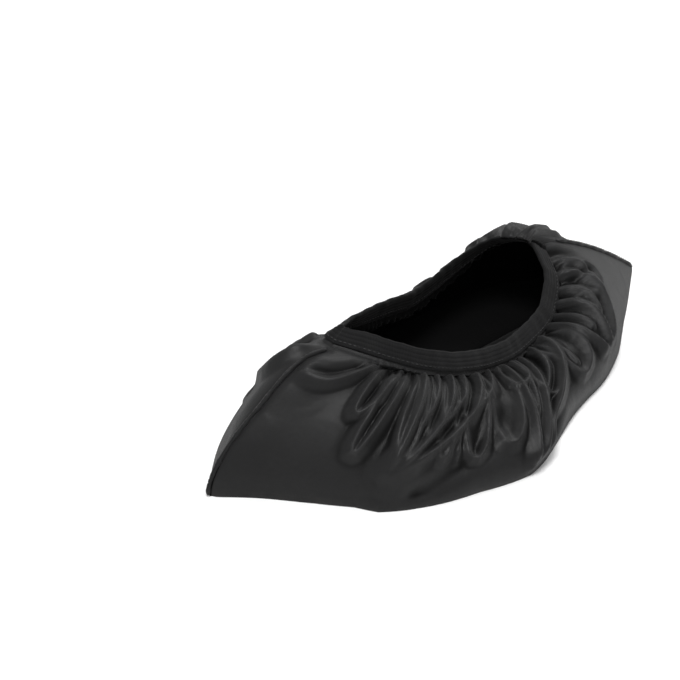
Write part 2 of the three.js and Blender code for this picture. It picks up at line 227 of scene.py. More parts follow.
class Stations:
    """Stations of one side at the places 'at', in metres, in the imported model's frame."""

    def __init__(self, left, at):
        row = rows_at(LEFT_STATIONS if left else RIGHT_STATIONS, at)
        place = at * RING_HALF if left else (2 - at) * RING_HALF
        turning = loop_at(RING, place)
        self.column = {name: row[:, c] * MM for c, name in enumerate(STATION)}
        self.out = unit(turning[:, :3])
        tilt = turning[:, 3:4]
        self.rim = row[:, 1:4] * MM + TOE_TIP
        self.hem = np.column_stack([row[:, 9] * MM, row[:, 10] * MM, 0 * at]) + TOE_TIP
        if left:
            outwards = unit((self.hem - self.rim) * (1, 1, 0))
            self.hem += outwards * (np.interp(at, HEM_CORNERS[:, 0], HEM_CORNERS[:, 1]) * MM)[:, None]
        self.rise = UP * np.cos(tilt) - self.out * np.sin(tilt)
        self.face = UP * np.sin(tilt) + self.out * np.cos(tilt)
        self.puff = smooth(0, 1, np.interp(place, PUFF[:, 0], PUFF[:, 1]))

    def on_binding(self, face, rise):
        return self.rim + self.face * face + self.rise * rise


def side_profile(stations, depth):
    """Points of the plain side, from the neck under the binding to the hem: stations by depths."""
    c = stations.column
    neck = stations.on_binding(0.0, -NECK)
    out = unit((stations.hem - stations.rim) * (1, 1, 0))
    away = unit(out + stations.out)
    crown = neck + away * c["crown_out"][:, None] + UP * c["crown_up"][:, None]
    belly = stations.hem + out * c["belly_out"][:, None] + UP * c["belly_up"][:, None]
    puff, d = stations.puff[:, None, None], depth[None, :, None]
    over = smooth(0.010, 0.06, d) * (1 - smooth(0.10, 0.45, d)) * PUFF_REACH
    upper = 1 - smooth(0.1, 0.3, d)
    lift = (smooth(0.0, 0.012, d) - PUFF_HUG * smooth(0.05, PUFF_ROOM, d) * upper) * PUFF_LIFT * upper
    d = d * (1 - puff) + puff * np.clip((d - PUFF_ROOM) / (1 - PUFF_ROOM), 0, 1)
    side = ((1 - d)**3 * neck[:, None] + 3 * d * (1 - d)**2 * crown[:, None]
            + 3 * d * d * (1 - d) * belly[:, None] + d**3 * stations.hem[:, None])
    return side + puff * (stations.rise[:, None] * over + stations.face[:, None] * lift)


def fold_path(pairs):
    """A fold's table points joined by a smooth curve, as short straight pieces."""
    points = np.array(pairs, float).reshape(-1, 2)
    places = np.column_stack([np.arange(len(points)), points])
    return rows_at(places, np.linspace(0, len(points) - 1, FOLD_STEPS + 1))[:, 1:]


def path_distance(path, at, depth, round_size, down_size):
    """Distance from a path over a grid, and how far along the path its nearest place lies, 0 to 1."""
    nearest = np.full_like(round_size, np.inf)
    where = np.zeros_like(round_size)
    for i in range(FOLD_STEPS):
        (ax, ay), (bx, by) = path[i], path[i + 1]
        qx, qy = (bx - ax) * round_size, (by - ay) * down_size
        px, py = (at[:, None] - ax) * round_size, (depth[None] - ay) * down_size
        s = np.clip((px * qx + py * qy) / (qx * qx + qy * qy + 1e-18), 0, 1)
        gap = np.hypot(px - s * qx, py - s * qy)
        closer = gap < nearest
        nearest = np.where(closer, gap, nearest)
        where = np.where(closer, (i + s) / FOLD_STEPS, where)
    return nearest, where


def crease_height(creases, at, depth, round_size, down_size):
    """Height of all the creases over a grid: flanks fall away from each crest and meet in valleys."""
    total = np.zeros_like(round_size)
    for height, reach, *pairs in creases:
        gap, where = path_distance(fold_path(pairs), at, depth, round_size, down_size)
        gap = np.hypot(gap, CREST_ROUNDING) - CREST_ROUNDING
        ends = smooth(-0.08, 0.12, where) * (1 - CREST_END * smooth(0.85, 1.0, where))
        flank = np.clip(1 - gap / (FLANK * reach * MM), 0, 1)**FLANK_CURVE
        total += (CREST * height * MM * ends * flank)**CREST_JOIN
    return total**(1 / CREST_JOIN)


def hollow_height(hollows, at, depth, round_size, down_size):
    """Height of the soft hollows and swellings over a grid."""
    total = np.zeros_like(round_size)
    for height, width, *pairs in hollows:
        gap, _ = path_distance(fold_path(pairs), at, depth, round_size, down_size)
        total += height * MM * np.exp(-(gap / (width * MM))**2)
    return total


def fan(height, reach, knot_at, knot_depth, first, last, count):
    """Folds from evenly spaced gathers down towards one knot, every other one lower and shorter."""
    creases = []
    for i in range(count):
        top = first + (last - first) * i / (count - 1)
        size = 1 - FAN_SHORT * (i % 2)
        way = FAN_WAY * size
        end_at = top + (knot_at - top) * way
        end_depth = GATHER_START + (knot_depth - GATHER_START) * way
        bend = top + (end_at - top) * FAN_BOW, (GATHER_START + end_depth) / 2
        creases.append((height * size**0.5, reach * size**0.5, top, GATHER_START, *bend, end_at, end_depth))
    return creases


def seeded_creases(start, end, count, seed):
    """Hairpin creases as gathered cloth makes them, spread evenly enough between two places."""
    rng = np.random.default_rng(seed)
    creases = []
    for i in range(count):
        at = start + (end - start) * (i + 0.5 + rng.uniform(-0.3, 0.3)) / count
        spread = (end - start) / count * rng.uniform(0.25, 0.6)
        low, lean = rng.uniform(0.22, 0.62), rng.uniform(-0.02, 0.02)
        tall, reach = rng.uniform(1.6, 2.8), rng.uniform(4, 6.5)
        toe_leg = at - spread * 0.4, GATHER_START, at - spread + lean / 2, low * 0.5
        bend = at - spread * 0.7 + lean, low, at + lean, low * 1.12, at + spread * 0.8 + lean, low * 0.9
        heel_leg = at + spread + lean / 2, low * 0.45, at + spread * 0.5, GATHER_START
        creases.append((tall, reach, *toe_leg, *bend, *heel_leg))
        if rng.uniform() < 0.75:
            aside = at + spread * rng.uniform(1.3, 1.8)
            tip = aside + lean, low * rng.uniform(0.5, 1.3)
            creases.append((tall * 0.8, reach * 0.7, aside, GATHER_START, *tip))
    return creases


def pleats(at, depth, seed):
    """Gathers under the elastic, uneven in width and fading with depth past their reach."""
    rng = np.random.default_rng(seed)

    def drift(low, high, count):
        table = np.column_stack([np.linspace(0, 1, count), rng.uniform(low, high, count)])
        return lambda places: rows_at(table, places)[:, 1][:, None]

    sway, strength, lean = drift(-0.6, 0.6, 15), drift(0.55, 1.25, 21), drift(-1.2, 1.2, 11)
    wander = sway(at) + lean(at) * depth[None]
    wave = np.abs(np.cos(math.pi * (PLEATS * at[:, None] + wander)))**0.8 - 0.6
    longer = PLEAT_REACH * strength((at * 7.3) % 1)
    return wave * strength(at) * np.exp(-(depth[None] / longer)**1.5)


# ---- cloth panels -------------------------------------------------------------------------------

PANEL_COLUMNS = 340
SIDE_ROWS = 124
SLOT_RISES = (CLOTH_IN_SLOT, CLOTH_IN_SLOT / 2, 0.0)
SOLE_ROWS = 8
SLACK_REACH = 0.35            # share of the depth over which the gathered look fades
TUCK = 5.5 * MM               # how far the cloth is drawn in between the gathers
TUCK_DEPTH = 0.2              # share of the depth over which that fades
TUCK_DOWN = 0.8               # how steeply it is drawn down while it is drawn in
PLEAT = 2.6 * MM              # height of the small gathers under the elastic
PLEATS = 34                   # how many of them there are on a side
PLEAT_REACH = 0.07            # share of the depth that they run down
TOE_SWELL = 3.4 * MM          # how far the upper toe seam stands out
SWELL_REACH = 16 * MM
SEAM_VALLEY = 1.1 * MM        # how deep the seam line is pulled in between the two panels
SEAM_SOFTNESS = 2.6 * MM
KNOT = (0.9 * MM, 1.6 * MM)   # points that stand off their neighbours by this much are evened out
CLOTH_SCALE = 10.0            # the solver works on a larger copy, where its tolerances are finer
CLOTH_FRAMES = 20
CLOTH_CAP = 3.2 * MM          # furthest that a point of cloth may move
CLOTH = {"quality": 6, "mass": 0.3, "tension_stiffness": 40, "compression_stiffness": 20,
         "shear_stiffness": 5, "bending_stiffness": 1.2, "pin_stiffness": 1}
# How firmly the pins hold the cloth: anywhere, where it isn't gathered, low down, and in the first
# row under the elastic.
HELD, HELD_FLAT, HELD_LOW, HELD_NECK = 0.05, 0.55, 0.35, 0.6
RIDGE_STAND = 0.3 * MM        # how far a ridge stands out where its painted highlight is full
POCKET_DEPTH = 0.65 * MM      # how deep a pocket lies where its painted shade is darkest
RELIEF_ROUNDS = (2, 16, 90)   # rounds of evening that tell ridges, narrow and wide pockets


def toe_swell(depth):
    """How far the upper toe seam stands out, by depth."""
    return TOE_SWELL * smooth(0.02, 0.2, depth) * (1 - smooth(0.25, 0.5, depth))


def even_out(points, rounds=8):
    """Evens only the places where neighbouring folds would cross into a jagged knot."""
    points = points.copy()
    for _ in range(rounds):
        mean = (points[:-2, 1:-1] + points[2:, 1:-1] + points[1:-1, :-2] + points[1:-1, 2:]) / 4
        off = mean - points[1:-1, 1:-1]
        share = smooth(*KNOT, np.linalg.norm(off, axis=-1, keepdims=True))
        points[1:-1, 1:-1] += 0.7 * share * off
    return points


class PanelShape:
    """One panel before it is draped: the plain side, the folded side, and how much it is gathered."""

    def __init__(self, left):
        self.left = left
        self.at = np.linspace(0, 1, PANEL_COLUMNS + 1)
        self.depth = (np.arange(SIDE_ROWS + 1) / SIDE_ROWS)**1.15
        self.stations = Stations(left, self.at)
        self.plain = side_profile(self.stations, self.depth)
        self.gathered = smooth(0.10, 0.26, self.at) * (1 - 0.4 * smooth(0.97, 1.0, self.at))
        self.normal = self.normals()
        self.folded = even_out(self.plain + self.normal * self.heights()[..., None] - self.tuck())
        self.slot = np.stack([self.stations.on_binding(0, r) for r in SLOT_RISES], 1)

    def normals(self):
        """Directions away from the plain side, level at the hem and in the seams' plane at the seams."""
        along, down = np.gradient(self.plain, axis=0), np.gradient(self.plain, axis=1)
        normal = unit(np.cross(down, along)) * (1 if self.left else -1)
        normal[:, -1, 2] = 0
        normal[[0, -1], :, 1] = 0
        return unit(normal)

    def heights(self):
        """How far the folded side stands off the plain one."""
        at, depth = self.at, self.depth
        round_size = np.linalg.norm(np.gradient(self.plain, axis=0), axis=-1) * PANEL_COLUMNS
        length = np.linalg.norm(np.diff(self.plain, axis=1), axis=-1).sum(1)
        down_size = np.repeat(length[:, None], len(depth), 1)
        grid = at, depth, round_size, down_size
        if self.left:
            fans = [crease for row in LEFT_FANS for crease in fan(*row)]
            creases, hollows = LEFT_CREASES + fans + seeded_creases(*LEFT_HAIRPINS), LEFT_HOLLOWS
        else:
            creases, hollows = RIGHT_CREASES + seeded_creases(*RIGHT_HAIRPINS), RIGHT_HOLLOWS
        folds = crease_height(creases, *grid) + hollow_height(hollows, *grid)
        small = pleats(at, depth, 3 if self.left else 13) * self.gathered[:, None]
        folds = folds * smooth(0.01, 0.07, depth)[None] + PLEAT * small * smooth(0, 0.03, depth)[None]
        folds *= 1 - smooth(0.88, 1.0, depth)[None]
        from_end = np.minimum(at, 1 - at)
        clear = smooth(0.0, 0.035, from_end)[:, None]
        from_seam = from_end[:, None] * round_size
        valley = SEAM_VALLEY * np.exp(-(from_seam / SEAM_SOFTNESS)**2) * smooth(0.0, 0.05, depth)[None]
        swell = toe_swell(depth)[None] * np.exp(-((at[:, None] * round_size) / SWELL_REACH)**2)
        return folds * clear - valley + swell

    def tuck(self):
        """How the cloth between the gathers is drawn in and down under the elastic."""
        pull = TUCK * np.exp(-(self.depth / TUCK_DEPTH)**2) * smooth(0, 0.07, self.depth)
        towards = unit(self.stations.out + UP * TUCK_DOWN)
        held = self.gathered * (1 - self.stations.puff)
        return held[:, None, None] * pull[None, :, None] * towards[:, None]

    def sole(self, hem):
        """Rows of the flat sole, from the hem in to the centre line."""
        middle = (self.stations.hem[:, 0] + Stations(not self.left, self.at).hem[:, 0]) / 2
        centre = np.column_stack([middle, np.full_like(middle, TOE_TIP[1]), np.zeros_like(middle)])
        s = (np.arange(1, SOLE_ROWS + 1) / SOLE_ROWS)[None, :, None]
        return hem[:, None] * (1 - s) + centre[:, None] * s

    def pattern(self, fullness):
        """The side laid flat as it was cut: wider towards the elastic, where it will be gathered."""
        wide = np.linalg.norm(np.diff(self.plain, axis=0), axis=-1)
        deep = np.linalg.norm(np.diff(self.plain, axis=1), axis=-1)
        gathered = (self.gathered[:-1] + self.gathered[1:])[:, None] / 2
        wide = wide * (1 + fullness * gathered * (1 - self.depth[None])**1.6)
        deep = deep * (1 + 0.02 * self.gathered[:, None])
        x, y = np.zeros(self.plain.shape[:2]), np.zeros(self.plain.shape[:2])
        x[1:] = np.cumsum(wide, 0)
        x -= x[PANEL_COLUMNS // 2]
        y[:, 1:] = -np.cumsum(deep, 1)
        return np.stack([x, y, np.zeros_like(x)], -1)


def grid_faces(columns, rows):
    """Quads over a grid of columns by rows of points."""
    i = np.arange(columns * rows).reshape(columns, rows)
    return np.stack([i[:-1, :-1], i[:-1, 1:], i[1:, 1:], i[1:, :-1]], -1).reshape(-1, 4)


def link_object(name, mesh):
    """Puts a mesh in the scene as a smooth object."""
    mesh.polygons.foreach_set("use_smooth", np.ones(len(mesh.polygons), bool))
    obj = bpy.data.objects.new(name, mesh)
    bpy.context.scene.collection.objects.link(obj)
    return obj


def new_mesh_object(name, points, faces):
    mesh = bpy.data.meshes.new(name)
    mesh.from_pydata(points.reshape(-1, 3).tolist(), [], faces)
    mesh.update()
    return link_object(name, mesh)


def run_along(steps):
    """Distance run at each point, from the lengths of the steps between them."""
    return np.concatenate([[0], np.cumsum(steps)])


def path_run(points):
    return run_along(np.linalg.norm(np.diff(points, axis=0), axis=1))


def add_smoothing(obj):
    smoothing = obj.modifiers.new("Smoothing", "SUBSURF")
    smoothing.levels = smoothing.render_levels = 1


def add_uv(obj, uv):
    """Gives the mesh a UV map, in metres of cloth, from one pair for each point."""
    corners = np.zeros(len(obj.data.loops), np.int32)
    obj.data.loops.foreach_get("vertex_index", corners)
    layer = obj.data.uv_layers.new(name="Cloth")
    layer.data.foreach_set("uv", uv.reshape(-1, 2)[corners].astype(np.float32).ravel())


def add_values(obj, name, values):
    obj.data.attributes.new(name, "FLOAT", "POINT").data.foreach_set(
        "value", np.asarray(values, np.float32).ravel())


def drape(shape, settings):
    """Lets the folded side crumple under its own slack, held at the elastic, the seams and the hem."""
    coarse = (slice(None, None, 2), slice(None, None, 2))
    start = shape.folded[coarse] * CLOTH_SCALE
    obj = new_mesh_object("draping", start, grid_faces(*start.shape[:2]).tolist())
    obj.shape_key_add(name="Basis")
    cut = obj.shape_key_add(name="cut")
    flat = shape.pattern(settings.fullness)[coarse] * CLOTH_SCALE
    cut.data.foreach_set("co", flat.astype(np.float32).ravel())
    held = np.full(start.shape[:2], HELD) + HELD_FLAT * (1 - shape.gathered[::2, None])
    held += HELD_LOW * smooth(0.45, 0.8, shape.depth[::2])
    held[:, 1] = HELD_NECK
    held[:, [0, -1]] = 1
    held[[0, 1, -2, -1]] = 1
    group = obj.vertex_groups.new(name="held")
    for point, weight in enumerate(held.ravel().tolist()):
        group.add([point], weight, "REPLACE")
    cloth = obj.modifiers.new("Cloth", "CLOTH")
    cloth.collision_settings.use_collision = False
    for name, value in CLOTH.items():
        setattr(cloth.settings, name, value)
    cloth.settings.vertex_group_mass = "held"
    cloth.settings.rest_shape_key = cut
    cloth.settings.effector_weights.gravity = settings.slump
    scene = bpy.context.scene
    scene.frame_start, scene.frame_end = 1, CLOTH_FRAMES + 1
    cloth.point_cache.frame_start, cloth.point_cache.frame_end = 1, CLOTH_FRAMES + 1
    for frame_number in range(1, CLOTH_FRAMES + 2):
        scene.frame_set(frame_number)
    evaluated = obj.evaluated_get(bpy.context.evaluated_depsgraph_get())
    mesh = evaluated.to_mesh()
    draped = np.zeros(len(mesh.vertices) * 3, np.float32)
    mesh.vertices.foreach_get("co", draped)
    evaluated.to_mesh_clear()
    bpy.data.objects.remove(obj)
    scene.frame_set(1)
    moved = draped.reshape(start.shape).astype(float) / CLOTH_SCALE - shape.folded[coarse]
    far = np.linalg.norm(moved, axis=-1, keepdims=True)
    moved /= np.sqrt(1 + (far / CLOTH_CAP)**2)
    return shape.folded + between(between(moved, 0), 1)


def between(values, axis):
    """Adds a row between every two rows of a grid."""
    values = np.moveaxis(values, axis, 0)
    ends = np.concatenate([2 * values[:1] - values[1:2], values, 2 * values[-1:] - values[-2:-1]])
    middle = (9 * (ends[1:-2] + ends[2:-1]) - ends[:-3] - ends[3:]) / 16
    out = np.zeros((2 * len(values) - 1,) + values.shape[1:])
    out[::2], out[1::2] = values, middle
    return np.moveaxis(out, 0, axis)


def softened(points, rounds):
    """The same grid with its folds evened out, for telling crests from pockets."""
    points = points.copy()
    for _ in range(rounds):
        points[1:-1] = (points[:-2] + 2 * points[1:-1] + points[2:]) / 4
        points[:, 1:-1] = (points[:, :-2] + 2 * points[:, 1:-1] + points[:, 2:]) / 4
    return points


def relief(points, normal):
    """How sharply the cloth is creased outwards, and how deep it lies in a pocket, both 0 to 1: the masks of
    the painted highlight and the painted shade.
    """
    sunk, narrow, wide = (
        np.sum((softened(points, rounds) - points) * normal, -1) for rounds in RELIEF_ROUNDS)
    return np.clip(-sunk / RIDGE_STAND, 0, 1), np.clip((narrow + wide) / (2 * POCKET_DEPTH), 0, 1)


def build_panel(left, settings, material, lining):
    """One nylon panel: up into the binding, down the side and in under the sole."""
    shape = PanelShape(left)
    side = drape(shape, settings)
    side[..., 2] = np.maximum(side[..., 2], 0)
    points = np.concatenate([shape.slot, side, shape.sole(side[:, -1])], 1)
    columns, rows = points.shape[:2]
    faces = grid_faces(columns, rows)[:, ::1 if left else -1]
    obj = new_mesh_object("left_cloth" if left else "right_cloth", points, faces.tolist())
    wide = np.linalg.norm(np.diff(points, axis=0), axis=-1)[:, len(SLOT_RISES) + SIDE_ROWS // 2]
    deep = np.linalg.norm(np.diff(points, axis=1), axis=-1)
    u = run_along(wide)[:, None] * np.ones((1, rows))
    v = np.concatenate([np.zeros((columns, 1)), np.cumsum(deep, 1)], 1)
    add_uv(obj, np.stack([u, v], -1))
    slack = shape.gathered[:, None] * np.exp(-shape.depth / SLACK_REACH)[None]
    # The ridge and pocket masks carry a painted highlight on the crests and painted shade in the pockets into
    # the material.
    for name, values in zip(("gathered", "ridge", "pocket"), (slack, *relief(side, shape.normal))):
        add_values(obj, name, np.pad(values, ((0, 0), (len(SLOT_RISES), SOLE_ROWS)), mode="edge"))
    obj.data.materials.append(material)
    obj.data.materials.append(lining)
    wall = obj.modifiers.new("Wall", "SOLIDIFY")
    wall.thickness = settings.thickness
    wall.offset = -1
    wall.material_offset = 1
    wall.material_offset_rim = 0
    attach(obj, "root")
    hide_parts("left_panel" if left else "right_panel")
    return obj


# ---- elastic binding ----------------------------------------------------------------------------

BINDING_HEIGHT = 11.0 * MM
BINDING_COLUMNS = 380
RIB_COUNT = 4
RIB_START = 0.4 * MM                      # height on the band where the lowest rib begins
RIB_END = BINDING_HEIGHT - 1.3 * MM
RIB_RUN = BINDING_HEIGHT - 1.7 * MM
FOLD_RISE = 1.25 * MM                     # height of the rounded fold along the top
LEG = 0.62 * MM                           # thickness of one leg of the folded elastic
SLOT_TOP = BINDING_HEIGHT - 2.4 * MM
SLOT_FOOT = 0.25 * MM
CORNER = 0.35 * MM                        # how far the lower corners are rounded in
PUCKERS = (9, 17, 31, 44, 57)             # waves of the band in one turn round the opening
PUCKER_FALL = 0.35                        # how much lower the shorter waves are
PUCKER_OUT, PUCKER_UP = 0.55, 0.5         # how much of the pucker goes across the band and along it


def ring_stations(count):
    """Binding frames all the way round: rim, face and rise, with the distance run from the toe."""
    half = count // 2
    at = np.linspace(0, 1, half + 1)
    left, right = Stations(True, at), Stations(False, at)
    rim, face, rise = (np.concatenate([getattr(left, n), getattr(right, n)[::-1][1:-1]])
                       for n in ("rim", "face", "rise"))
    step = np.linalg.norm(np.roll(rim, -1, 0) - rim, axis=1)
    return rim, face, rise, run_along(step)


def binding_section(half, ribs):
    """Outline of the folded elastic, outer leg first, with lengthwise ribs; (face, rise) in metres."""
    outer = []
    for r in np.linspace(RIB_START, RIB_END, RIB_COUNT * 6 + 1):
        crest = abs(math.sin(math.pi * RIB_COUNT * (r - RIB_START) / RIB_RUN))
        outer.append((half - ribs + ribs * crest**0.6, r))
    over = [(half * 0.96 * math.cos(a), BINDING_HEIGHT - FOLD_RISE + FOLD_RISE * math.sin(a))
            for a in np.radians([30, 55, 75, 90, 105, 125, 150])]
    inner = [(-f, r) for f, r in outer[::-1]]
    slot = [(LEG - half, SLOT_FOOT), (LEG - half, SLOT_TOP), (half - LEG, SLOT_TOP), (half - LEG, SLOT_FOOT)]
    return np.array([(half - CORNER, 0)] + outer + over + inner + [(CORNER - half, 0)] + slot)


def build_binding(settings, material):
    """The elastic folded over the gathered edge, as one closed and slightly puckered ring."""
    rim, face, rise, run = ring_stations(BINDING_COLUMNS)
    section = binding_section(settings.half_thickness, settings.rib_depth)
    turn = 2 * math.pi * run[:-1] / run[-1]
    rng = np.random.default_rng(21)
    wave, lift = np.zeros_like(turn), np.zeros_like(turn)
    for n in PUCKERS:
        a, b, c, d = rng.uniform(0, 2 * math.pi, 4)
        wave += np.sin(n * turn + a) * (1 + 0.5 * np.sin(3 * turn + b)) / n**PUCKER_FALL
        lift += np.sin((n + 2) * turn + c) * (1 + 0.5 * np.sin(2 * turn + d)) / n**PUCKER_FALL
    wave *= settings.pucker * PUCKER_OUT
    lift *= settings.pucker * PUCKER_UP
    f = section[None, :, 0] + wave[:, None]
    up = section[None, :, 1] / BINDING_HEIGHT
    r = section[None, :, 1] + lift[:, None] * up
    points = rim[:, None] + face[:, None] * f[..., None] + rise[:, None] * r[..., None]
    i = np.arange(len(points) * len(section)).reshape(len(points), len(section))
    i = np.concatenate([i, i[:, :1]], 1)
    j = np.roll(i, -1, 0)
    faces = np.stack([i[:, :-1], j[:, :-1], j[:, 1:], i[:, 1:]], -1).reshape(-1, 4)
    obj = new_mesh_object("elastic_band", points, faces.tolist())
    around = path_run(section)
    u = run[:-1][:, None] * np.ones((1, len(section)))
    add_uv(obj, np.stack([u, np.broadcast_to(around, u.shape)], -1))
    # Mask of the inner leg, which the material darkens as painted shade.
    add_values(obj, "inner", np.broadcast_to(smooth(0.2, -0.6, section[:, 0] / MM), u.shape))
    obj.data.materials.append(material)
    add_smoothing(obj)
    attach(obj, "root")
    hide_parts("elastic_binding")
    return obj


# ---- nodes --------------------------------------------------------------------------------------

class Nodes:
    """Short ways to make and join the nodes of one tree."""

    def __init__(self, tree):
        self.tree = tree

    def fill(self, sockets, values):
        """Gives each socket its value, or joins the output of another node to it."""
        for key, value in values.items():
            if isinstance(value, bpy.types.NodeSocket):
                self.tree.links.new(value, sockets[key])
            else:
                sockets[key].default_value = value

    def put(self, kind, settings=None, **inputs):
        """Outputs of a new node; _3 is its fourth input, and other underscores stand for spaces."""
        node = self.tree.nodes.new(kind)
        for name, value in (settings or {}).items():
            setattr(node, name, value)
        for name, value in inputs.items():
            key = int(name[1:]) if name[1:].isdigit() else name.replace("_", " ")
            self.fill(node.inputs, {key: value})
        return node.outputs

    def math(self, operation, a, b=0.0, clamp=False):
        return self.put("ShaderNodeMath", {"operation": operation, "use_clamp": clamp}, _0=a, _1=b)[0]

    def plus(self, a, b):
        return self.math("ADD", a, b)

    def minus(self, a, b, clamp=False):
        return self.math("SUBTRACT", a, b, clamp)

    def times(self, a, b, clamp=False):
        return self.math("MULTIPLY", a, b, clamp)

    def ripple(self, turns):
        """Rounded ridges, one to each whole number."""
        return self.math("ABSOLUTE", self.math("SINE", self.times(turns, math.pi)))

    def noise(self, place, scale, detail, settings=None, **inputs):
        return self.put("ShaderNodeTexNoise", settings, Vector=place, Scale=scale, Detail=detail, **inputs)[0]

    def bump(self, height, strength, distance, **below):
        return self.put("ShaderNodeBump", Height=height, Strength=strength, Distance=distance, **below)[0]

    def blend(self, amount, low, high):
        """Value between low and high."""
        return self.put("ShaderNodeMapRange", Value=amount, To_Min=low, To_Max=high)[0]

    def mix_colour(self, amount, low, high):
        return self.put("ShaderNodeMix", {"data_type": "RGBA"}, _0=amount, _6=low, _7=high)[2]

    def attribute(self, name):
        return self.put("ShaderNodeAttribute", {"attribute_name": name})["Fac"]

    def place(self):
        return self.put("ShaderNodeTexCoord")["Object"]

    def cloth_map(self):
        return self.put("ShaderNodeUVMap", {"uv_map": "Cloth"})[0]

    def group(self, name, build, **inputs):
        """Outputs of a shared group, which is built where it is first needed."""
        tree = bpy.data.node_groups.get(name) or build()
        return self.put("ShaderNodeGroup", {"node_tree": tree}, **inputs)


def new_group(name, inputs, outputs, kind="ShaderNodeTree"):
    """A group of nodes: its tree, the nodes, what comes in and what goes out."""
    tree = bpy.data.node_groups.new(name, kind)
    for title, value_kind, value in inputs:
        socket = tree.interface.new_socket(title, in_out="INPUT", socket_type="NodeSocket" + value_kind)
        if value is not None:
            socket.default_value = value
    for title, value_kind in outputs:
        tree.interface.new_socket(title, in_out="OUTPUT", socket_type="NodeSocket" + value_kind)
    nodes = Nodes(tree)
    return tree, nodes, nodes.put("NodeGroupInput"), tree.nodes.new("NodeGroupOutput").inputs


# ---- seams and stitches -------------------------------------------------------------------------

SEAM_SECTIONS = 150
TOE_SEAM_REACH = (0.035, 0.99)
HEEL_SEAM_REACH = (0.26, 0.99)
SEAM_SINK = 0.25 * MM         # how deep the foot of the ridge sits in the cloth
SEAM_LOWEST = 0.05 * MM       # lowest that the ridge comes to the floor
# Cross-section of the ridge: across in half widths, up in heights.
SEAM_OUTLINE = np.array([(-1.0, -1.4), (-1.0, -0.1), (-0.86, 0.45), (-0.5, 0.88), (0, 1.0), (0.5, 0.84),
                         (0.85, 0.35), (1.0, -0.3), (1.0, -1.4)])


def seam_frames(toe, count):
    """Points down a seam line, the directions across it and away from the cloth, and the depths."""
    at = np.array([0.0 if toe else 1.0])
    depth = np.linspace(*(TOE_SEAM_REACH if toe else HEEL_SEAM_REACH), count)
    line = side_profile(Stations(True, at), depth)[0]
    along = unit(np.gradient(line, axis=0))
    across = np.array([0.0, 1.0, 0.0]) * np.ones_like(line)
    away = unit(np.cross(across, along)) * (1 if toe else -1)
    if toe:
        line = line + away * toe_swell(depth)[:, None]
    return line, across, away, depth


def recalculate_normals(mesh):
    work = bmesh.new()
    work.from_mesh(mesh)
    bmesh.ops.recalc_face_normals(work, faces=work.faces)
    work.to_mesh(mesh)
    work.free()


def build_seam(toe, settings, material):
    """A ridge of folded cloth down the toe or the heel, slightly puckered and closed all round."""
    line, across, away, depth = seam_frames(toe, SEAM_SECTIONS)
    length = path_run(line)
    rng = np.random.default_rng(31 if toe else 32)
    a, b = rng.uniform(0, 2 * math.pi, 2)
    pucker = 1 + 0.16 * np.sin(length / (3.1 * MM) + a) + 0.12 * np.sin(length / (1.3 * MM) + b)
    half = settings.width / 2
    fade = smooth(0, 0.05, depth - depth[0]) * (1 - smooth(0.96, 1.0, depth))
    w = SEAM_OUTLINE[None, :, 0] * half * (0.75 + 0.25 * fade)[:, None] * pucker[:, None]
    h = SEAM_OUTLINE[None, :, 1] * settings.height * (0.3 + 0.7 * fade * pucker)[:, None] - SEAM_SINK
    sideways = across[:, None] * (w + settings.lean)[..., None]
    points = line[:, None] + sideways + away[:, None] * h[..., None]
    points[..., 2] = np.maximum(points[..., 2], SEAM_LOWEST)
    count, rows = points.shape[:2]
    total = count * rows
    caps = [list(range(rows)), list(range(total - rows, total))[::-1]]
    back = np.arange(count)[:-1] * rows
    closing = np.stack([back, back + rows, back + 2 * rows - 1, back + rows - 1], -1)
    mesh = bpy.data.meshes.new("seam")
    faces = grid_faces(count, rows).tolist() + closing.tolist() + caps
    mesh.from_pydata(points.reshape(-1, 3).tolist(), [], faces)
    recalculate_normals(mesh)
    obj = link_object("toe_welt" if toe else "heel_welt", mesh)
    u = length[:, None] * np.ones((1, rows))
    add_uv(obj, np.stack([u, np.broadcast_to(path_run(SEAM_OUTLINE) * half, u.shape)], -1))
    obj.data.materials.append(material)
    add_smoothing(obj)
    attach(obj, "root")
    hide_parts("toe_seam" if toe else "heel_seam")
    return obj


def stitch_tree():
    """Geometry nodes: small threads laid end to end along a path, turned to follow it."""
    tree, n, given, out = new_group(
        "Stitches on a path",
        [("Path", "Geometry", None), ("Pitch", "Float", 2.8 * MM), ("Thread", "Float", 0.42 * MM),
         ("Fill", "Float", 0.72), ("Material", "Material", None)],
        [("Geometry", "Geometry")], "GeometryNodeTree")
    curve = n.put("GeometryNodeMeshToCurve", Mesh=given["Path"])["Curve"]
    spaced = n.put("GeometryNodeResampleCurve", {"mode": "LENGTH"}, Curve=curve, Length=given["Pitch"])
    thread = n.put("GeometryNodeMeshUVSphere", Segments=8, Rings=5, Radius=0.5)
    length = n.times(given["Pitch"], given["Fill"])
    size = n.put("ShaderNodeCombineXYZ", X=given["Thread"], Y=given["Thread"], Z=length)
    tangent = n.put("GeometryNodeInputTangent")["Tangent"]
    turn = n.put("FunctionNodeAlignRotationToVector", {"axis": "Z"}, Vector=tangent)
    uneven = n.put("FunctionNodeRandomValue", {"data_type": "FLOAT_VECTOR"},
                   Min=(0.86, 0.86, 0.9), Max=(1.1, 1.1, 1.06), Seed=5)
    sized = n.put("ShaderNodeVectorMath", {"operation": "MULTIPLY"}, _0=size["Vector"], _1=uneven["Value"])
    placed = n.put("GeometryNodeInstanceOnPoints", Points=spaced["Curve"], Instance=thread["Mesh"],
                   Rotation=turn["Rotation"], Scale=sized["Vector"])
    real = n.put("GeometryNodeRealizeInstances", Geometry=placed["Instances"])["Geometry"]
    painted = n.put("GeometryNodeSetMaterial", Geometry=real, Material=given["Material"])
    n.fill(out, {"Geometry": painted["Geometry"]})
    return tree


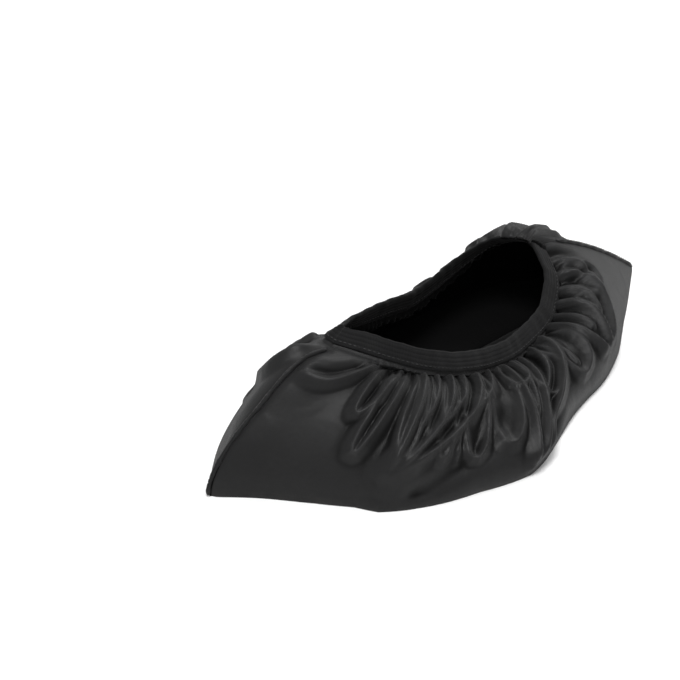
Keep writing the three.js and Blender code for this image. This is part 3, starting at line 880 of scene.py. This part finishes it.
def sew(name, tree, paths, settings, material):
    """Stitches along several paths of points, as one plain mesh."""
    edges, start = [], 0
    for path in paths:
        edges += [(i, i + 1) for i in range(start, start + len(path) - 1)]
        start += len(path)
    mesh = bpy.data.meshes.new(name + "_path")
    mesh.from_pydata(np.concatenate(paths).tolist(), edges, [])
    path_object = bpy.data.objects.new(name + "_path", mesh)
    bpy.context.scene.collection.objects.link(path_object)
    modifier = path_object.modifiers.new("Stitches", "NODES")
    modifier.node_group = tree
    inputs = {item.name: item.identifier for item in tree.interface.items_tree if item.in_out == "INPUT"}
    modifier[inputs["Pitch"]] = settings.pitch
    modifier[inputs["Thread"]] = settings.thread
    modifier[inputs["Material"]] = material
    evaluated = path_object.evaluated_get(bpy.context.evaluated_depsgraph_get())
    stitches = bpy.data.meshes.new_from_object(evaluated)
    path_object.modifiers.clear()
    bpy.data.objects.remove(path_object)
    if not stitches.polygons:
        raise RuntimeError(f"no stitches were made for {name}")
    obj = link_object(name, stitches)
    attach(obj, "root")
    return obj


# ---- materials ----------------------------------------------------------------------------------

POCKET_SHADE = 0.06            # painted shade: how dark a deep pocket is painted against plain cloth
CREST_HIGHLIGHT = 3.4              # painted highlight: how light a creased crest is painted
DUST_COLOUR = (0.05, 0.047, 0.043, 1.0)
ROUGHNESS_SPREAD = 0.06
WEAVE_BUMP = 0.06 * MM
FUZZ_BUMP = 0.12 * MM
KNIT_BUMP = 0.14 * MM
TWIST_BUMP = 0.08 * MM


def weave_group():
    """Plain weave over a UV map in metres: thread height and the shade between the threads."""
    tree, n, given, out = new_group(
        "Plain weave",
        [("UV", "Vector", None), ("Threads per metre", "Float", 1800.0), ("Slub", "Float", 0.3)],
        [("Height", "Float"), ("Shade", "Float")])
    parts = n.put("ShaderNodeSeparateXYZ", Vector=given["UV"])
    across, down = (n.times(parts[axis], given["Threads per metre"]) for axis in "XY")
    warp, weft = n.ripple(across), n.ripple(down)
    over = n.math("PINGPONG", n.plus(n.math("FLOOR", across), n.math("FLOOR", down)), 1.0)
    top = n.plus(n.times(warp, over), n.times(weft, n.minus(1.0, over)))
    under = n.times(warp, weft)
    slub = n.noise(given["UV"], 420.0, 2.0, {"noise_dimensions": "2D"})
    uneven = n.times(n.minus(slub, 0.5), given["Slub"])
    n.fill(out, {"Height": n.plus(n.times(n.plus(top, under), 0.5), uneven),
                 "Shade": n.plus(n.times(under, 0.6), n.times(slub, 0.4))})
    return tree


def crinkle_group():
    """Fine crumples of thin coated cloth, drawn out down the gathers where the cloth is gathered."""
    tree, n, given, out = new_group(
        "Crinkles", [("Position", "Vector", None), ("UV", "Vector", None), ("Gathered", "Float", 0.0),
                     ("Size", "Float", 60.0)],
        [("Height", "Float"), ("Tone", "Float")])
    ridged = {"noise_type": "RIDGED_MULTIFRACTAL", "normalize": True}
    broad = n.noise(given["Position"], given["Size"], 3.0, ridged, Roughness=0.55, Distortion=0.6)
    drawn = n.put("ShaderNodeMapping", {"vector_type": "POINT"}, Vector=given["UV"], Scale=(1.0, 0.22, 1.0))
    lines = n.noise(drawn[0], 320.0, 3.0, {"noise_dimensions": "2D"}, Roughness=0.6, Distortion=0.4)
    small = n.noise(given["Position"], 240.0, 3.0, Roughness=0.5)
    rumples = n.plus(n.times(broad, 0.55), n.times(small, 0.16))
    n.fill(out, {"Height": n.plus(rumples, n.times(lines, given["Gathered"])),
                 "Tone": n.noise(given["Position"], 22.0, 4.0, Roughness=0.6)})
    return tree


def highlight_rubbing_dust_group():
    """Masks from 0 to 1: patchy marks on the ridges, which the nylon uses as a painted highlight and the
    elastic as lint, and dust along the floor edge.
    """
    tree, n, given, out = new_group(
        "Rubbed edges",
        [("Position", "Vector", None), ("Ridge", "Float", 0.0), ("Floor reach", "Float", 0.006)],
        [("Rubbed", "Float"), ("Dust", "Float")])
    patch = n.noise(given["Position"], 90.0, 4.0, Roughness=0.65)
    spots = n.times(n.minus(patch, 0.42), 4.0, clamp=True)
    low = n.put("ShaderNodeSeparateXYZ", Vector=given["Position"])["Z"]
    near = n.minus(1.0, n.math("DIVIDE", low, given["Floor reach"]), clamp=True)
    n.fill(out, {"Rubbed": n.times(given["Ridge"], spots), "Dust": n.times(near, spots)})
    return tree


def new_material(name):
    material = bpy.data.materials.new(name)
    material.use_nodes = True
    return material, Nodes(material.node_tree), material.node_tree.nodes["Principled BSDF"].inputs


def lighter(colour, factor):
    return tuple(min(1.0, c * factor) for c in colour[:3]) + (1.0,)


def nylon_material(name, settings, roughness, gloss, depth=1.0, shade=1.0, dust=0.25):
    """Thin coated nylon: plain weave, crumples, tone changes, dust by the floor, a painted highlight on the
    creased ridges, partly patchy like rubbing, and painted shade in the pockets.
    """
    material, n, shader = new_material(name)
    place, uv = n.place(), n.cloth_map()
    gathered, ridge, pocket = (n.attribute(mask) for mask in ("gathered", "ridge", "pocket"))
    weave = n.group("Plain weave", weave_group, UV=uv, Threads_per_metre=settings.threads)
    crinkle = n.group("Crinkles", crinkle_group, Position=place, UV=uv, Gathered=gathered)
    highlight_and_wear = n.group("Rubbed edges", highlight_rubbing_dust_group, Position=place, Ridge=ridge)
    base = lighter(settings.colour, shade)
    tone = n.mix_colour(crinkle["Tone"], lighter(base, 0.5), lighter(base, 1.6))
    threads = n.mix_colour(weave["Shade"], lighter(base, 0.7), tone)
    # Painted shade: the deep pockets between the folds are darkened.
    shaded = n.mix_colour(pocket, threads, lighter(base, POCKET_SHADE))
    # Painted highlight: the creased crests are lightened, evenly along the ridge and more in patches.
    crests = n.times(n.plus(n.times(ridge, 0.4), highlight_and_wear["Rubbed"]), 0.22)
    highlit_crests = n.mix_colour(crests, shaded, lighter(base, CREST_HIGHLIGHT))
    dusty = n.mix_colour(n.times(highlight_and_wear["Dust"], dust), highlit_crests, DUST_COLOUR)
    mottled = n.blend(crinkle["Tone"], roughness - ROUGHNESS_SPREAD, roughness + ROUGHNESS_SPREAD)
    rough = n.plus(mottled, n.times(weave["Shade"], -0.05))
    aside = n.put("ShaderNodeLayerWeight", Blend=0.5)["Facing"]
    rough = n.math("MAXIMUM", rough, n.times(n.math("POWER", aside, 2.0), 0.95))
    crumpled = n.bump(crinkle["Height"], 0.55, settings.crinkle * depth)
    n.fill(shader, {
        "Base Color": dusty, "Roughness": rough, "Specular IOR Level": gloss,
        "Sheen Weight": settings.sheen, "Sheen Roughness": 0.45,
        "Normal": n.bump(weave["Height"], 0.5, WEAVE_BUMP, Normal=crumpled)})
    return material


def elastic_material(settings):
    """Matte knitted elastic: fine knit ribs across the band, fuzz, rubbed crests, and painted shade on the
    inner leg.
    """
    material, n, shader = new_material("Ribbed elastic")
    place, uv = n.place(), n.cloth_map()
    parts = n.put("ShaderNodeSeparateXYZ", Vector=uv)
    sway = n.noise(uv, 160.0, 2.0, {"noise_dimensions": "2D"})
    knit = n.ripple(n.plus(n.times(parts["X"], settings.knit), sway))
    rows = n.ripple(n.times(parts["Y"], settings.knit * 1.6))
    wale = n.times(knit, n.plus(0.6, n.times(rows, 0.4)))
    fuzz = n.noise(place, 1400.0, 3.0, Roughness=0.7)
    tone = n.noise(place, 45.0, 4.0)
    highlight_and_wear = n.group("Rubbed edges", highlight_rubbing_dust_group, Position=place, Ridge=wale)
    base = settings.colour
    threads = n.mix_colour(wale, lighter(base, 0.6), lighter(base, 1.15))
    mottled = n.mix_colour(n.times(tone, 0.5), threads, lighter(base, 0.7))
    lint = n.mix_colour(n.times(highlight_and_wear["Rubbed"], 0.25), mottled, lighter(base, 2.2))
    # The inner leg is darkened to near black as painted shade.
    n.fill(shader, {
        "Base Color": n.mix_colour(n.attribute("inner"), lint, lighter(base, 0.12)),
        "Roughness": n.blend(fuzz, 0.78, 0.96), "Specular IOR Level": 0.03,
        "Sheen Weight": settings.sheen, "Sheen Roughness": 0.6,
        "Normal": n.bump(wale, 0.5, KNIT_BUMP, Normal=n.bump(fuzz, 0.35, FUZZ_BUMP))})
    return material


def thread_material(settings):
    """Twisted polyester thread, slightly glossier than the cloth."""
    material, n, shader = new_material("Sewing thread")
    twist = n.put("ShaderNodeTexWave", {"bands_direction": "DIAGONAL"},
                  Vector=n.place(), Scale=900.0, Distortion=1.5)["Fac"]
    base = settings.colour
    n.fill(shader, {
        "Base Color": n.mix_colour(twist, lighter(base, 0.55), lighter(base, 1.3)),
        "Roughness": n.blend(twist, 0.5, 0.65), "Normal": n.bump(twist, 0.6, TWIST_BUMP)})
    return material


def floor_material(settings):
    """Plain pale studio floor with a faint unevenness."""
    material, n, shader = new_material("Studio floor")
    cloudy = n.noise(n.place(), 3.0, 3.0)
    base = settings.floor_colour
    n.fill(shader, {
        "Base Color": n.mix_colour(cloudy, lighter(base, 0.985), lighter(base, 1.01)),
        "Roughness": n.blend(cloudy, 0.88, 0.94), "Specular IOR Level": 0.2})
    return material


# ---- sizes and colours that can be changed ------------------------------------------------------

def number(name, description, default, low, high, **more):
    return FloatProperty(name=name, description=description, default=default, min=low, max=high, **more)


def length(name, description, default, low, high):
    return number(name, description, default, low, high, unit="LENGTH", precision=5)


def shade(name, description, *default):
    return FloatVectorProperty(
        name=name, description=description, subtype="COLOR", size=3, min=0, max=1, default=default)


class ClothSettings(PropertyGroup):
    colour: shade("Nylon colour", "Colour of the nylon", 0.015, 0.015, 0.0153)
    thickness: length("Cloth thickness", "Thickness of the nylon wall", 0.35 * MM, 0.1 * MM, 2 * MM)
    fullness: number("Fullness", "Extra width gathered into the elastic, as a share", 0.8, 0, 1.5)
    slump: number("Slump", "How strongly the cloth settles under its weight", 0.02, 0, 1)
    crinkle: length("Crinkle depth", "Depth of the finest crumples", 0.9 * MM, 0, 4 * MM)
    threads: number("Threads", "Threads of the weave in a metre", 1700, 200, 6000)
    sheen: number("Sheen", "Soft sheen of the nylon", 0.05, 0, 1, subtype="FACTOR")
    cut_length: length("Cut length", "Length of a panel's flat blank", 0.36, 0.1, 1)
    cut_width: length("Cut width", "Width of a panel's flat blank", 0.18, 0.05, 1)
    left_area: number(
        "Left panel area", "Area of the cut left panel in square metres", 0.052, 0.001, 1, precision=4)
    right_area: number(
        "Right panel area", "Area of the cut right panel in square metres", 0.042, 0.001, 1, precision=4)


class ElasticSettings(PropertyGroup):
    colour: shade("Elastic colour", "Colour of the elastic band", 0.0115, 0.0115, 0.0118)
    half_thickness: length(
        "Half thickness", "Half of the folded band's thickness", 1.35 * MM, 0.5 * MM, 3 * MM)
    rib_depth: length("Rib depth", "Height of the lengthwise ribs", 0.32 * MM, 0, 1 * MM)
    pucker: length("Pucker", "Waviness of the band where it is gathered", 0.5 * MM, 0, 2 * MM)
    knit: number("Knit ribs", "Fine knit ribs in a metre of band", 1100, 100, 4000)
    sheen: number("Sheen", "Fuzzy sheen of the elastic", 0.05, 0, 1, subtype="FACTOR")


class SeamSettings(PropertyGroup):
    width: length("Seam width", "Width of the raised seam", 2.2 * MM, 0.5 * MM, 6 * MM)
    height: length("Seam height", "Height of the raised seam", 1.1 * MM, 0.2 * MM, 3 * MM)
    lean: length(
        "Seam lean", "How far the raised seam lies to the right panel's side", 0.9 * MM, -3 * MM, 3 * MM)


class StitchSettings(PropertyGroup):
    colour: shade("Thread colour", "Colour of the sewing thread", 0.014, 0.014, 0.0145)
    pitch: length("Stitch pitch", "Length from one stitch to the next", 2.6 * MM, 1 * MM, 10 * MM)
    thread: length("Thread thickness", "Diameter of the thread", 0.45 * MM, 0.1 * MM, 2 * MM)


class StageSettings(PropertyGroup):
    floor_colour: shade("Floor colour", "Colour of the floor", 0.9, 0.9, 0.9)
    floor_size: length("Floor size", "Side of the square floor", 9.0, 1, 50)
    key_power: number("Key light", "Power of the main soft light", 7.0, 0, 500, unit="POWER")
    fill_power: number("Fill light", "Power of the side fill light", 1.5, 0, 500, unit="POWER")
    top_power: number("Top light", "Power of the overhead light", 17.0, 0, 500, unit="POWER")
    sky: number("Room light", "Strength of the even room light", 0.6, 0, 10)
    camera_from_toe: FloatVectorProperty(
        name="Camera place", description="Camera place, measured from the toe tip", subtype="TRANSLATION",
        unit="LENGTH", default=(-0.4426, -0.5781, 0.5746))
    camera_azimuth: FloatProperty(
        name="Camera azimuth", description="Direction that the camera looks from", subtype="ANGLE",
        default=math.radians(-42.642))
    camera_elevation: FloatProperty(
        name="Camera elevation", description="Height angle of the camera", subtype="ANGLE",
        default=math.radians(33.513))
    lens: number("Lens", "Focal length of the camera in millimetres", 97.25, 10, 400)


# ---- operators ----------------------------------------------------------------------------------

STITCH_RISE = 1.9 * MM        # how far up the band its stitches run
STITCH_STAND = 0.02 * MM      # how far they stand off the band
STITCH_SINK = 0.2 * MM        # how deep the stitches of a seam sit in its ridge
SEAM_STITCH_START = 0.06      # how far below the top of the ridge they start
SEAM_STITCH_END = 0.95
LAMP_AIM = Vector((0, 0, 0.03))
LAMPS = (                     # name, place, diameter, and the setting that holds the power
    ("key", (1.0, 0.45, 1.1), 0.8, "key_power"),
    ("fill", (-1.3, -1.0, 1.2), 1.2, "fill_power"),
    ("top", (-0.35, -0.2, 1.5), 0.6, "top_power"),
)


class BOOTCOVER_OT_panels(Operator):
    """Cut and drape the two nylon panels"""
    bl_idname = "bootcover.panels"
    bl_label = "Nylon panels"

    def execute(self, context):
        settings = context.scene.boot_cloth
        outside = nylon_material("Coated nylon", settings, 0.38, 0.13)
        # The inside faces use the same nylon darkened to 0.15 as painted shade, rougher and less glossy.
        inside = nylon_material("Nylon lining side", settings, 0.7, 0.04, 0.6, 0.15, 0.0)
        for left in (True, False):
            build_panel(left, settings, outside, inside)
        return {"FINISHED"}


class BOOTCOVER_OT_binding(Operator):
    """Fold the ribbed elastic round the opening"""
    bl_idname = "bootcover.binding"
    bl_label = "Elastic binding"

    def execute(self, context):
        settings = context.scene.boot_elastic
        build_binding(settings, elastic_material(settings))
        return {"FINISHED"}


class BOOTCOVER_OT_seams(Operator):
    """Raise the seam up the toe and the seam up the heel"""
    bl_idname = "bootcover.seams"
    bl_label = "Toe and heel seams"

    def execute(self, context):
        material = nylon_material("Folded seam nylon", context.scene.boot_cloth, 0.45, 0.13, 0.4)
        for toe in (True, False):
            build_seam(toe, context.scene.boot_seam, material)
        return {"FINISHED"}


class BOOTCOVER_OT_stitches(Operator):
    """Sew the stitches of the binding and of the seams"""
    bl_idname = "bootcover.stitches"
    bl_label = "Stitches"

    def execute(self, context):
        settings = context.scene.boot_stitch
        elastic, seam = context.scene.boot_elastic, context.scene.boot_seam
        tree, material = stitch_tree(), thread_material(settings)
        rim, face, rise, _ = ring_stations(BINDING_COLUMNS)
        paths = []
        for hand in (1, -1):
            path = rim + face * (hand * (elastic.half_thickness + STITCH_STAND)) + rise * STITCH_RISE
            paths.append(np.concatenate([path, path[:1]]))
        sew("binding_stitches", tree, paths, settings, material)
        for toe in (True, False):
            line, across, away, depth = seam_frames(toe, SEAM_SECTIONS)
            path = line + across * seam.lean + away * (seam.height - STITCH_SINK)
            sewn = (depth > depth[0] + SEAM_STITCH_START) & (depth < SEAM_STITCH_END)
            sew("toe_stitches" if toe else "heel_stitches", tree, [path[sewn]], settings, material)
        return {"FINISHED"}


class BOOTCOVER_OT_stage(Operator):
    """Set up the floor, the soft lights and the camera"""
    bl_idname = "bootcover.stage"
    bl_label = "Studio stage"

    def execute(self, context):
        settings = context.scene.boot_stage
        half = settings.floor_size / 2
        corners = np.array([(-half, -half, 0), (half, -half, 0), (half, half, 0), (-half, half, 0)])
        floor = new_mesh_object("studio_floor", corners, [[0, 1, 2, 3]])
        floor.data.materials.append(floor_material(settings))
        for name, place, size, power in LAMPS:
            self.light(name, place, size, getattr(settings, power))
        world = bpy.data.worlds.new("Studio room")
        world.use_nodes = True
        sky = world.node_tree.nodes["Background"].inputs
        Nodes(world.node_tree).fill(sky, {"Color": (1.0, 1.0, 1.0, 1.0), "Strength": settings.sky})
        context.scene.world = world
        context.scene.view_settings.view_transform = "Standard"
        self.camera(context.scene, settings)
        return {"FINISHED"}

    def light(self, name, place, size, power):
        data = bpy.data.lights.new(name, "AREA")
        data.shape = "DISK"
        data.size, data.energy = size, power
        lamp = bpy.data.objects.new(name, data)
        lamp.location = place
        lamp.rotation_euler = (LAMP_AIM - Vector(place)).to_track_quat("-Z", "Y").to_euler()
        bpy.context.scene.collection.objects.link(lamp)

    def camera(self, scene, settings):
        data = bpy.data.cameras.new("camera")
        data.sensor_width, data.lens = 36.0, settings.lens
        data.clip_start, data.clip_end = 0.05, 50.0
        camera = bpy.data.objects.new("camera", data)
        camera.location = Vector(TOE_TIP) + Vector(settings.camera_from_toe)
        a, e = settings.camera_azimuth, settings.camera_elevation
        back = Vector((math.sin(a) * math.cos(e), -math.cos(a) * math.cos(e), math.sin(e)))
        camera.rotation_euler = (-back).to_track_quat("-Z", "Y").to_euler()
        scene.collection.objects.link(camera)
        scene.camera = camera


class BOOTCOVER_PT_panel(Panel):
    """One box for each step, with its button and its settings"""
    bl_label = "Boot cover"
    bl_idname = "BOOTCOVER_PT_panel"
    bl_space_type = "VIEW_3D"
    bl_region_type = "UI"
    bl_category = "Boot cover"

    def draw(self, context):
        for operator, settings in STEPS:
            box = self.layout.box()
            box.operator(operator.bl_idname)
            if settings:
                group = getattr(context.scene, settings)
                for name in group.bl_rna.properties.keys():
                    if name not in ("rna_type", "name"):
                        box.prop(group, name)


STEPS = (
    (BOOTCOVER_OT_stage, "boot_stage"),
    (BOOTCOVER_OT_panels, "boot_cloth"),
    (BOOTCOVER_OT_binding, "boot_elastic"),
    (BOOTCOVER_OT_seams, "boot_seam"),
    (BOOTCOVER_OT_stitches, "boot_stitch"),
)
GROUPS = {
    "boot_cloth": ClothSettings,
    "boot_elastic": ElasticSettings,
    "boot_seam": SeamSettings,
    "boot_stitch": StitchSettings,
    "boot_stage": StageSettings,
}


def register():
    for name, group in GROUPS.items():
        bpy.utils.register_class(group)
        setattr(bpy.types.Scene, name, PointerProperty(type=group))
    for operator, _ in STEPS:
        bpy.utils.register_class(operator)
    bpy.utils.register_class(BOOTCOVER_PT_panel)


def unregister():
    bpy.utils.unregister_class(BOOTCOVER_PT_panel)
    for operator, _ in reversed(STEPS):
        bpy.utils.unregister_class(operator)
    for name, group in GROUPS.items():
        delattr(bpy.types.Scene, name)
        bpy.utils.unregister_class(group)


def main():
    register()
    bpy.ops.bootcover.stage()
    bpy.ops.bootcover.panels()
    bpy.ops.bootcover.binding()
    bpy.ops.bootcover.seams()
    bpy.ops.bootcover.stitches()


if __name__ == "__main__":
    main()
